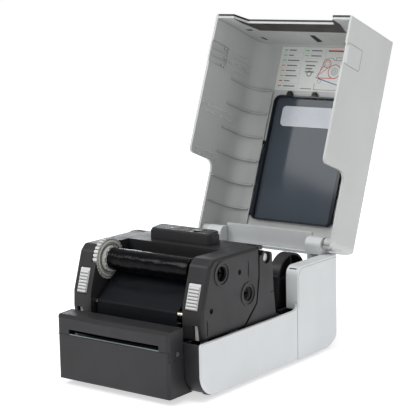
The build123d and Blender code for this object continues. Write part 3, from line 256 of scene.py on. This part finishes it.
# ---- building in mesh code ----
class Build:
    """Collects shapes in millimetres in the design frame (lid pieces as if the lid were closed)."""

    def __init__(self):
        self.bm = bmesh.new()

    def box(self, x0, x1, y0, y1, z0, z1):
        made = bmesh.ops.create_cube(self.bm, size=1)["verts"]
        for v in made:
            v.co = Vector(((x0 + x1) / 2 + v.co.x * (x1 - x0), (y0 + y1) / 2 + v.co.y * (y1 - y0),
                           (z0 + z1) / 2 + v.co.z * (z1 - z0)))
        return self

    def prism(self, loop, offset):
        """A closed loop of points, thickened by an offset vector."""
        low = [self.bm.verts.new(p) for p in loop]
        high = [self.bm.verts.new(Vector(p) + Vector(offset)) for p in loop]
        self.bm.faces.new(low[::-1])
        self.bm.faces.new(high)
        for i in range(len(loop)):
            k = (i + 1) % len(loop)
            self.bm.faces.new((low[i], low[k], high[k], high[i]))
        return self

    def ring(self, outer, inner, offset):
        """A plate between an outer and an inner loop of equally many points."""
        lows = [[self.bm.verts.new(p) for p in loop] for loop in (outer, inner)]
        highs = [[self.bm.verts.new(Vector(p) + Vector(offset)) for p in loop] for loop in (outer, inner)]
        n = len(outer)
        for i in range(n):
            k = (i + 1) % n
            self.bm.faces.new((highs[0][i], highs[0][k], highs[1][k], highs[1][i]))
            self.bm.faces.new((lows[0][k], lows[0][i], lows[1][i], lows[1][k]))
            self.bm.faces.new((lows[0][i], lows[0][k], highs[0][k], highs[0][i]))
            self.bm.faces.new((lows[1][k], lows[1][i], highs[1][i], highs[1][k]))
        return self

    def tube(self, path, radius, sides=8):
        """A round cord along a path of points."""
        path = [Vector(p) for p in path]
        rows = []
        for i, p in enumerate(path):
            along = (path[min(i + 1, len(path) - 1)] - path[max(i - 1, 0)]).normalized()
            side = (along.orthogonal() if i == 0 else side - along * side.dot(along)).normalized()
            other = along.cross(side)
            rows.append([self.bm.verts.new(p + radius * (math.cos(2 * math.pi * k / sides) * side
                                                         + math.sin(2 * math.pi * k / sides) * other))
                         for k in range(sides)])
        for a, b in zip(rows, rows[1:]):
            for k in range(sides):
                m = (k + 1) % sides
                self.bm.faces.new((a[k], a[m], b[m], b[k]))
        self.bm.faces.new(rows[0][::-1])
        self.bm.faces.new(rows[-1])
        return self

    def dome(self, centre, normal, radius, height):
        """A low round bump that stands on a surface."""
        made = bmesh.ops.create_uvsphere(self.bm, u_segments=10, v_segments=6, radius=1)["verts"]
        turn = Vector((0, 0, 1)).rotation_difference(Vector(normal)).to_matrix()
        for v in made:
            v.co = Vector(centre) + turn @ Vector((v.co.x * radius, v.co.y * radius, v.co.z * height))
        return self

    def finish(self, name, material, body, place=TO_METRES, smooth=False, slot=None):
        bmesh.ops.transform(self.bm, matrix=place, verts=self.bm.verts)
        bmesh.ops.recalc_face_normals(self.bm, faces=self.bm.faces)
        mesh = bpy.data.meshes.new(name)
        self.bm.to_mesh(mesh)
        self.bm.free()
        for face in mesh.polygons:
            face.use_smooth = smooth
        mesh.materials.append(material)
        obj = bpy.data.objects.new(name, mesh)
        bpy.context.scene.collection.objects.link(obj)
        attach(obj, body)
        return obj


def rounded(x0, x1, y0, y1, radius, each=6):
    """Points (a, b) round a rectangle with rounded corners."""
    points = []
    for cx, cy, start in ((x1 - radius, y1 - radius, 0), (x0 + radius, y1 - radius, 90),
                          (x0 + radius, y0 + radius, 180), (x1 - radius, y0 + radius, 270)):
        for i in range(each):
            a = math.radians(start + 90 * i / (each - 1))
            points.append((cx + radius * math.cos(a), cy + radius * math.sin(a)))
    return points


# ---- lid: details inside ----
WALL_X, FRONT_Y = 92.0, -119.2            # inner faces of the lid's side walls and front
DIMPLES = (((-88.7, -77.8, -68.2), 89, 138, 9), ((-16.7, -8.9), 66, 136, 12), ((37.5, 43), 70, 112, 8))
bumps = Build()
for side in (-1, 1):
    for rows, z0, z1, count in DIMPLES:
        for r, y in enumerate(rows):
            for i in range(count):
                z = z0 + (z1 - z0) * (i + 0.5 * (r % 2)) / (count - 0.5)
                bumps.dome((side * WALL_X, y + 0.6 * (i % 2), z), (-side, 0, 0), 1.7, 1.1)
for x0, x1 in ((-36, -16), (22, 42)):
    for i in range(5):
        for k in range(6):
            bumps.dome((x0 + (x1 - x0) * i / 4, FRONT_Y, 121 + 6 * k + 3 * (i % 2)), (0, 1, 0), 1.1, 0.5)
bumps.finish("lid_dimples", LID_WHITE_SHADED, "lid", OPEN_LID, smooth=True, slot="white_plastic")

lines = Build()
for x0, x1 in ((-92.1, -91.55), (91.55, 92.1)):
    for y, z0, z1 in ((-83, 63, 147), (-74.3, 63.5, 149), (-66, 63, 85), (-92.5, 63, 87)):
        lines.box(x0, x1, y - 0.45, y + 0.45, z0, z1)
lines.finish("lid_lines", LID_WHITE_SHADED, "lid", OPEN_LID, slot="white_plastic")

for name, loop in (("large", [(-4.1, 152), (0.7, 124), (7.3, 124.6), (5.1, 148.7)]),
                   ("left", [(-79, 136.6), (-74.6, 136.6), (-73.4, 146.3), (-77.4, 146.3)]),
                   ("corner", [(-80, 105.5), (-71.6, 105.5), (-71.6, 109.8), (-80, 109.8)]),
                   ("right", [(74.6, 136.6), (79, 136.6), (77.4, 146.3), (73.4, 146.3)])):
    Build().prism([(x, -119.25, z) for x, z in loop], (0, 0.15, 0)).finish("lid_slot_" + name, SEAM, "lid", OPEN_LID)
Build().prism([(-60.3, -119.25, 81.2), (60.3, -119.25, 81.2), (60.3, -119.25, 111), (-60.3, -119.25, 108)],
              (0, 0.5, 0)).finish("lid_band", BAND, "lid", OPEN_LID, slot="dark_plastic")
for side in (-1, 1):
    Build().prism([(side * 60.3, -119.25, 81.2), (side * 69, -119.25, 63), (side * 69, -119.25, 80),
                   (side * 60.3, -119.25, 108)], (0, 0.5, 0)).finish(f"lid_band_end_{side + 1}", BAND, "lid", OPEN_LID,
                                                                     slot="dark_plastic")

# ribs of the hinge corner beside the right knuckle, coloured much darker than the lid: painted shade of the corner
cells = Build()
for z0, z1 in ((122.5, 129.5), (131, 138)):
    cells.box(83.2, 91.6, 126.2, 126.9, z0, z1)
cells.finish("hinge_cells", CELL_SHADE, "lid", OPEN_LID)

# outline and tab of the finger grip on both outer faces; the outline is a thin dark ring of painted shade
for side in (-1, 1):
    face_x = side * 95.0
    outer = [(face_x, y, z) for y, z in rounded(-93.5, -68.2, 63.5, 97.5, 3)]
    inner = [(face_x, y, z) for y, z in rounded(-92.9, -68.8, 64.1, 96.9, 2.5)]
    Build().ring(outer, inner, (side * 0.06, 0, 0)).finish(f"grip_line_{side + 1}", SHADE_LINE, "lid", OPEN_LID)
    Build().box(*sorted((face_x - side * 1.5, face_x + side * 0.7)), -89.5, -69.5, 62.2, 66.5).finish(
        f"grip_tab_{side + 1}", WHITE, "lid", OPEN_LID, slot="white_plastic")

# clear pane in the window's cut-out, hazed like the rest of the pane
Build().prism([(x, y, 162.6) for x, y in rounded(-42.9, 42.9, -40.4, -15.6, 4.9)], (0, 0, 0.4)).finish(
    "window_pane", PANE, "lid", OPEN_LID)

# window: snap wires, clips and hooks
for side in (-1, 1):
    wire = [(side * (58.6 + 1.3 * math.sin(t * 6.3)), 6 + 94 * t, 161.2 + 0.8 * math.cos(t * 9)) for t in
            [i / 40 for i in range(41)]]
    Build().tube(wire, 0.75).finish(f"window_wire_{side + 1}", BLACK, "lid", OPEN_LID, smooth=True)
    clips = Build()
    for y in (8, 33, 64, 97):
        clips.box(*sorted((side * 57.2, side * 60.6)), y - 2.2, y + 2.2, 159.6, 163.1)
    clips.finish(f"window_clips_{side + 1}", BLACK, "lid", OPEN_LID)
    ledge = Build()
    ledge.box(*sorted((side * 61.5, side * 62.7)), -58, 110, 160.6, 163.1)
    ledge.finish(f"window_ledge_{side + 1}", LID_WHITE_SHADED, "lid", OPEN_LID, slot="white_plastic")
hooks = Build()
for x in (-36, 0, 36):
    hooks.box(x - 3.6, x + 3.6, -57, -50.5, 159.6, 161.0)
    hooks.box(x - 2.2, x + 2.2, -58.5, -55.5, 158.8, 162.9)
hooks.finish("window_hooks", BLACK, "lid", OPEN_LID)

# ---- loading guide: marks, bars and a plain path diagram ----
STICKER_Z = 162.72                        # printed face
INK_DEPTH = 0.05
inks = {}


def ink(name, colour):
    if name not in inks:
        g = Graph("ink_" + name)
        g.tint(g.noise(500, 3), tuple(c * 0.92 for c in colour), colour)
        g.set(Roughness=0.6)
        inks[name] = (Build(), g.material)
    return inks[name][0]


def bar(name, colour, x, y, width, height=1.3):
    ink(name, colour).box(x, x + width, y - height / 2, y + height / 2, STICKER_Z - INK_DEPTH, STICKER_Z)


def circle_line(name, colour, x, y, radius, thick):
    points = 40
    outer, inner = [[(x + r * math.cos(2 * math.pi * i / points), y + r * math.sin(2 * math.pi * i / points), STICKER_Z)
                     for i in range(points)] for r in (radius + thick / 2, radius - thick / 2)]
    ink(name, colour).ring(outer, inner, (0, 0, -INK_DEPTH))


def poly_line(name, colour, points, thick):
    for (x0, y0), (x1, y1) in zip(points, points[1:]):
        along = Vector((x1 - x0, y1 - y0)).normalized() * thick / 2
        nx, ny = -along.y, along.x
        ink(name, colour).prism([(x0 + nx - along.x, y0 + ny - along.y, STICKER_Z),
                                 (x1 + nx + along.x, y1 + ny + along.y, STICKER_Z),
                                 (x1 - nx + along.x, y1 - ny + along.y, STICKER_Z),
                                 (x0 - nx - along.x, y0 - ny - along.y, STICKER_Z)], (0, 0, -INK_DEPTH))


RED, GREEN, ORANGE = (0.6, 0.05, 0.04), (0.1, 0.5, 0.1), (0.75, 0.25, 0.06)
BLUE, GREY, PALE = (0.04, 0.1, 0.32), (0.16, 0.16, 0.17), (0.42, 0.43, 0.43)
MARKS = [(GREEN,), (GREEN, GREEN), (GREEN, GREEN), (ORANGE,), (ORANGE, ORANGE), (ORANGE, ORANGE), (RED,), (RED, GREEN)]
NAMES = {RED: "red", GREEN: "green", ORANGE: "orange"}
LENGTHS = [10, 7, 17, 15, 14, 17, 8, 17]
for row, marks in enumerate(MARKS):
    y = -111.6 + 6.55 * row
    for k, colour in enumerate(marks):
        width = 4.8 if len(marks) == 1 else 2.3
        bar(NAMES[colour], colour, -57 + 2.7 * k, y, width)
    bar("grey", GREY, -49.5, y, LENGTHS[row], 1.4)
    bar("pale", PALE, -59.5, y + 3.2, 31, 0.18)
for k in (0, 1):
    bar("green", GREEN, -26 + 3 * k, -111.6, 2.6)
    bar("pale", PALE, -26 + 3 * k, -105.1, 2.6)
    bar("grey", GREY, -17, -111.6 + 6.55 * k, 15, 1.4)
    bar("pale", PALE, -28.5, -108.4 + 6.55 * k, 32, 0.18)
ink("pale", PALE).box(-28.6, -28.4, -114.5, -62, STICKER_Z - INK_DEPTH, STICKER_Z)
ink("pale", PALE).box(3.9, 4.1, -114.5, -102, STICKER_Z - INK_DEPTH, STICKER_Z)
bar("red", RED, 7, -111.8, 26, 2.0)
bar("grey", GREY, -24, -97.6, 18, 1.0)
bar("grey", GREY, -24, -63.2, 16, 1.0)
for k in range(3):                                        # a plain picture of a roll and its label
    bar("grey", GREY, -21.5, -92.6 + 4 * k, 13 - 3 * (k % 2), 1.6)
circle_line("grey", GREY, -15, -82.5, 3.2, 1.1)
circle_line("red", RED, 20.5, -86, 8.6, 0.9)
circle_line("grey", GREY, 20.5, -86, 4.2, 0.5)
circle_line("grey", GREY, 20.5, -86, 2.0, 0.5)
circle_line("red", RED, 8.7, -95.5, 5.0, 0.9)
circle_line("grey", GREY, 8.7, -95.5, 2.8, 0.4)
poly_line("red", RED, [(4.2, -93.5), (-2.5, -80.5), (0.5, -77.3), (17, -77.6)], 0.9)
poly_line("red", RED, [(12.3, -92), (-1, -81.5)], 0.7)
poly_line("blue", BLUE, [(-4, -78), (2, -76), (27, -69.5), (32, -72), (36, -84), (39, -90)], 1.0)
poly_line("grey", GREY, [(-4.5, -70), (-4.5, -62.6), (44, -62.6)], 0.5)
poly_line("grey", GREY, [(0, -86), (4, -101), (14, -103), (18, -100), (34, -100), (40, -94)], 0.5)
poly_line("grey", GREY, [(20, -100), (20, -103.5), (29, -103.5), (29, -100)], 0.5)
circle_line("grey", GREY, 1.2, -73.4, 2.4, 0.4)
for name, (build, material) in inks.items():
    build.finish("guide_" + name, material, "lid", OPEN_LID)

# ---- ribbon film ----
RIBBON_X0, RIBBON_X1 = -57.0, 51.5


def ribbon_path():
    """Points (y, z) from under the head, round the front rod, to the back of the take-up roll."""
    rod_r, roll_r = 3.25, 12.7
    dy, dz = TAKE_UP[0] - GUIDE_ROD[0], TAKE_UP[1] - GUIDE_ROD[1]
    direction = math.atan2(dz, dy) - math.asin((rod_r + roll_r) / math.hypot(dy, dz))
    path = [(-55.2, 91.2), (-79.0, 58.2), (-85.5, 58.95), (-104.0, 57.95), (-111.4, 58.95)]
    for degrees in range(188, 125, -8):
        a = math.radians(degrees)
        path.append((GUIDE_ROD[0] + rod_r * math.cos(a), GUIDE_ROD[1] + rod_r * math.sin(a)))
    path.append((TAKE_UP[0] + roll_r * math.sin(direction), TAKE_UP[1] - roll_r * math.cos(direction)))
    fine = []
    for (y0, z0), (y1, z1) in zip(path, path[1:]):
        steps = max(1, round(math.hypot(y1 - y0, z1 - z0) / 1.5))
        fine += [(y0 + (y1 - y0) * i / steps, z0 + (z1 - z0) * i / steps) for i in range(steps)]
    return fine + [path[-1]]


web = Build()
columns = [RIBBON_X0 + (RIBBON_X1 - RIBBON_X0) * i / 72 for i in range(73)]
grid = []
for y, z in ribbon_path():
    ripple = min(1, max(0, (z - 88) / 10)) * 0.45
    grid.append([web.bm.verts.new((x, y, z + ripple * noise.noise((x * 0.05, y * 0.16, 3.1)))) for x in columns])
for a, b in zip(grid, grid[1:]):
    for i in range(len(columns) - 1):
        web.bm.faces.new((a[i], a[i + 1], b[i + 1], b[i]))
web = web.finish("ribbon_web_film", MATERIALS["film"], "carriage", smooth=True, slot="film")
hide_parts("ribbon_web")

roll = Build()
rings = []
for i in range(141):
    x = RIBBON_X0 + 0.1 + (RIBBON_X1 - RIBBON_X0 - 0.2) * i / 140
    ring = []
    for k in range(96):
        a = 2 * math.pi * k / 96
        crease = noise.noise((x * 0.09, math.cos(a) * 2.2, math.sin(a) * 2.2 + x * 0.03))
        sharp = abs(noise.noise((x * 0.22 + 9, math.cos(a + x * 0.02) * 3, math.sin(a + x * 0.02) * 3)))
        ends = max(0, 1 - (x - RIBBON_X0) / 22)
        r = 12.35 + 0.3 * crease - (0.25 + 0.7 * ends) * max(0, 0.3 - sharp)
        ring.append(roll.bm.verts.new((x, TAKE_UP[0] + r * math.cos(a), TAKE_UP[1] + r * math.sin(a))))
    rings.append(ring)
for a, b in zip(rings, rings[1:]):
    for k in range(96):
        m = (k + 1) % 96
        roll.bm.faces.new((a[k], a[m], b[m], b[k]))
for end in (rings[0], rings[-1]):
    hub = [roll.bm.verts.new((end[k].co.x, TAKE_UP[0] + 8.1 * math.cos(2 * math.pi * k / 96),
                              TAKE_UP[1] + 8.1 * math.sin(2 * math.pi * k / 96))) for k in range(96)]
    for k in range(96):
        roll.bm.faces.new((end[k], end[(k + 1) % 96], hub[(k + 1) % 96], hub[k]))
ROLL_FILM = film("roll_film", (0.001, 0.001, 0.0015), (0.002, 0.002, 0.003), 0.22, 0.0002, 0.1)
roll = roll.finish("take_up_film", ROLL_FILM, "take_up", smooth=True, slot="film")
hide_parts("take_up_roll")

# shade lines under the ribs of both latch buttons
LEAN = 0.31679                            # how far the button's face leans forward for each mm down
for side, body, inner in ((1, "right_latch", 66.9), (-1, "left_latch", 69.1)):
    shade = Build()
    x0, x1 = sorted((side * inner, side * 80.3))
    for i in range(7):
        z = 93.6 + 3.3 * i - 1.65
        y = -107.3 - LEAN * (117.6 - z)
        shade.prism([(x0, y - 0.28, z - 0.28), (x1, y - 0.28, z - 0.28),
                     (x1, y - 0.1, z + 0.28), (x0, y - 0.1, z + 0.28)], (0, 0.4, 0))
    shade.finish(body + "_rib_shade", RIB_SHADE, body)

# rounded knurls and stepped ring of the hand wheel, with rings of painted shade in its groove and round its hub
knurls = Build()
for i in range(32):
    a = 2 * math.pi * (i + 0.5) / 32
    out, along = Vector((0, math.cos(a), math.sin(a))), Vector((0, -math.sin(a), math.cos(a)))
    centre = Vector((-65.1, TAKE_UP[0], TAKE_UP[1]))
    loop = [centre + out * r + along * w for r, w in
            ((21.2, -1.35), (22.15, -1.2), (22.4, -0.7), (22.4, 0.7), (22.15, 1.2), (21.2, 1.35))]
    knurls.prism([p + Vector((-2.75, 0, 0)) for p in loop], (5.6, 0, 0))
knurls.finish("wheel_knurls", ACETAL, "take_up", slot="natural_plastic")
for name, material, r0, r1, x0, x1 in (("wheel_groove", PAINTED_WHEEL_SHADE, 20.6, 19.9, -62.45, -62.3),
                                       ("wheel_step", ACETAL, 19.8, 17.6, -62.45, -61.6),
                                       ("wheel_shade", PAINTED_WHEEL_SHADE, 15.2, 14.0, -62.45, -62.3)):
    circles = [[(x0, TAKE_UP[0] + r * math.cos(2 * math.pi * k / 64), TAKE_UP[1] + r * math.sin(2 * math.pi * k / 64))
                for k in range(64)] for r in (r0, r1)]
    Build().ring(circles[0], circles[1], (x1 - x0, 0, 0)).finish(name, material, "take_up")

# saw-toothed end of the wheel's collar
teeth = Build()
for i in range(10):
    a0, a1 = 2 * math.pi * i / 10, 2 * math.pi * (i + 0.62) / 10
    loop = []
    for a, x in ((a0, -58.9), (a1, -58.9), (a1, -57.3)):
        loop.append((x, TAKE_UP[0] + 13.6 * math.cos(a), TAKE_UP[1] + 13.6 * math.sin(a)))
    middle = (a0 + a1) / 2
    teeth.prism(loop, (0, -1.8 * math.cos(middle), -1.8 * math.sin(middle)))
teeth.finish("wheel_teeth", ACETAL, "take_up", slot="natural_plastic")

# ---- control pod: gloss panel, bezels and seam ----
POD_FRONT, POD_BACK = (-38.2, 153.6), (-19.2, 155.4)


def on_pod(points, lift=0.0):
    """Points (x, y) laid on the pod's sloping top."""
    slope = (POD_BACK[1] - POD_FRONT[1]) / (POD_BACK[0] - POD_FRONT[0])
    return [(x, y, POD_FRONT[1] + slope * (y - POD_FRONT[0]) + lift) for x, y in points]


def round_hole(x, y, radius, outline):
    """A hole's points, one for each point of the outline round it."""
    spots = []
    for px, py in outline:
        a = math.atan2(py - y, px - x)
        spots.append((x + radius * math.cos(a), y + radius * math.sin(a)))
    return spots


MID_Y = -28.7                             # middle of the status light and the feed button
LIFT = 0.02                               # the panel stands this far off the pod
panel = Build()
for x0, x1, hole_x, hole_r in ((-35.5, -4.2, -16, 2.5), (9.4, 26.6, 18, 5.4)):
    outline = rounded(x0, x1, -35.4, -22.0, 2.6)
    panel.ring(on_pod(outline, LIFT), on_pod(round_hole(hole_x, MID_Y, hole_r, outline), LIFT), (0, 0, 0.25))
for x0, x1, thick in ((-2.6, 7.8, 0.4), (28.2, 35.8, 0.25)):
    panel.prism(on_pod(rounded(x0, x1, -35.4, -22.0, 2.6), LIFT), (0, 0, thick))
panel.finish("pod_panel", PIANO, "carriage", slot="dark_plastic")
# the rim's lighter colour is a painted highlight on the bevels round the panel
rim = Build()
rim.ring(on_pod(rounded(-37.6, 37.6, -36.6, -20.8, 3.6)), on_pod(rounded(-36.8, 36.8, -35.9, -21.5, 3)),
         (0, 0, 0.35))
rim.finish("pod_rim", RIM_HIGHLIGHT, "carriage", slot="dark_plastic")
groove = [(x, y, 151.02) for x, y in rounded(-41.3, 41.3, -38.9, -18.5, 4.7)]
inside = [(x, y, 151.02) for x, y in rounded(-40.7, 40.7, -38.3, -19.1, 4.2)]
Build().ring(groove, inside, (0, 0, 0.03)).finish("pod_groove", SEAM, "carriage")
Build().box(1.9, 2.15, -39.25, -39.1, 141.6, 151).finish("pod_seam", SEAM, "carriage")

# ---- casing: seams and contour lines, drawn dark as painted shade ----
seams = Build()
seams.box(-77.0, -60.6, -153.2, -152.7, 54.7, 55.2)
seams.box(60.6, 68.5, -153.55, -153.35, 54.8, 55.1)
seams.box(72.7, 72.86, -151.0, -150.7, 44.6, 55.0)
seams.box(72.7, 72.86, -151.0, -128.2, 44.5, 44.75)
seams.finish("cutter_seams", SEAM, "base")

# the rear contour is a thin dark cord of painted shade along the side
for side in (-1, 1):
    contour = [(50.7, 62.5)] + [(60.7 - 10 * math.cos(math.radians(a)), 96.1 + 10 * math.sin(math.radians(a)))
                                for a in range(0, 91, 10)] + [(132.5, 106.1)]
    Build().tube([(side * 94.94, y, z) for y, z in contour], 0.22, 6).finish(f"rear_contour_{side + 1}", SHADE_LINE,
                                                                          "base", smooth=True)

# ---- sockets at the back ----
pins = Build()
for i in range(8):
    pins.box(14 - 4.9 + 1.3 * i, 14 - 4.4 + 1.3 * i, 127.5, 132.5, 39.2, 39.6)
for i in range(4):
    pins.box(-16 - 2.4 + 1.4 * i, -16 - 1.7 + 1.4 * i, 126, 132.2, 34.65, 34.8)
pins.finish("socket_contacts", MATERIALS["brass"], "base", slot="brass")

# ---- floor, lights and camera ----
floor_mesh = bpy.data.meshes.new("floor")
FLOOR_HALF, FLOOR_Z = 40, -0.0005         # wide, so that it fills the view up to the horizon
floor_mesh.from_pydata([(x * FLOOR_HALF, y * FLOOR_HALF, FLOOR_Z) for x, y in ((-1, -1), (1, -1), (1, 1), (-1, 1))],
                       [], [(0, 1, 2, 3)])
floor = bpy.data.objects.new("floor", floor_mesh)
bpy.context.scene.collection.objects.link(floor)
g = Graph("floor_paper")
g.tint(g.noise(2, 2), (0.93, 0.93, 0.94), (0.95, 0.95, 0.96))
g.set(Roughness=0.9, Emission_Color=(1, 1, 1, 1), Emission_Strength=0.56, Specular_IOR_Level=0.1)
coat(floor, g.material)

world = bpy.data.worlds.new("studio")
bpy.context.scene.world = world
world.use_nodes = True
world.node_tree.nodes["Background"].inputs["Color"].default_value = (1, 1, 1, 1)
tree = world.node_tree
compass = tree.nodes.new("ShaderNodeSeparateXYZ")
tree.links.new(tree.nodes.new("ShaderNodeTexCoord").outputs["Generated"], compass.inputs["Vector"])
height = tree.nodes.new("ShaderNodeMapRange")        # white near the horizon, softer above
for key, value in (("From Min", 0.15), ("From Max", 0.22), ("To Min", 1.0), ("To Max", 0.45)):
    height.inputs[key].default_value = value
tree.links.new(compass.outputs["Z"], height.inputs["Value"])
tree.links.new(height.outputs["Result"], tree.nodes["Background"].inputs["Strength"])


def area(name, place, target, size, power, colour=(1, 1, 1)):
    data = bpy.data.lights.new(name, "AREA")
    data.shape = "RECTANGLE"
    data.size, data.size_y = size
    data.energy = power
    data.color = colour
    lamp = bpy.data.objects.new(name, data)
    lamp.location = place
    lamp.rotation_euler = (Vector(target) - Vector(place)).to_track_quat("-Z", "Y").to_euler()
    bpy.context.scene.collection.objects.link(lamp)
    return lamp


area("key", (-1.2, -1.6, 1.7), (0, 0, 0.15), (0.9, 0.9), 18)
area("top", (-0.1, -0.2, 1.9), (0, -0.1, 0.1), (1.0, 0.6), 13)
area("side", (1.7, -0.9, 0.1), (0.09, 0, 0.05), (0.9, 0.3), 1.6, (0.95, 0.98, 1.0))
area("rim", (-1.35, 1.65, 0.62), (0, -0.05, 0.14), (0.9, 0.4), 5, (0.92, 0.97, 1.0))

camera_data = bpy.data.cameras.new("camera")
camera = bpy.data.objects.new("camera", camera_data)
bpy.context.scene.collection.objects.link(camera)
bpy.context.scene.camera = camera
YAW, PITCH, ROLL = math.radians(37.0707), math.radians(9.9105), math.radians(-1.1052)
forward = Vector((-math.sin(YAW) * math.cos(PITCH), math.cos(YAW) * math.cos(PITCH), -math.sin(PITCH)))
level = Vector((math.cos(YAW), math.sin(YAW), 0))
upright = level.cross(forward)
right = level * math.cos(ROLL) + upright * math.sin(ROLL)
up = upright * math.cos(ROLL) - level * math.sin(ROLL)
turn = Matrix((right, up, -forward)).transposed().to_4x4()
camera.matrix_world = Matrix.Translation((0.94192, -1.28543, 0.44400)) @ turn
camera_data.sensor_width = 36.0
camera_data.lens = 124.178365
camera_data.clip_end = 50

bpy.context.scene.view_settings.view_transform = "Standard"
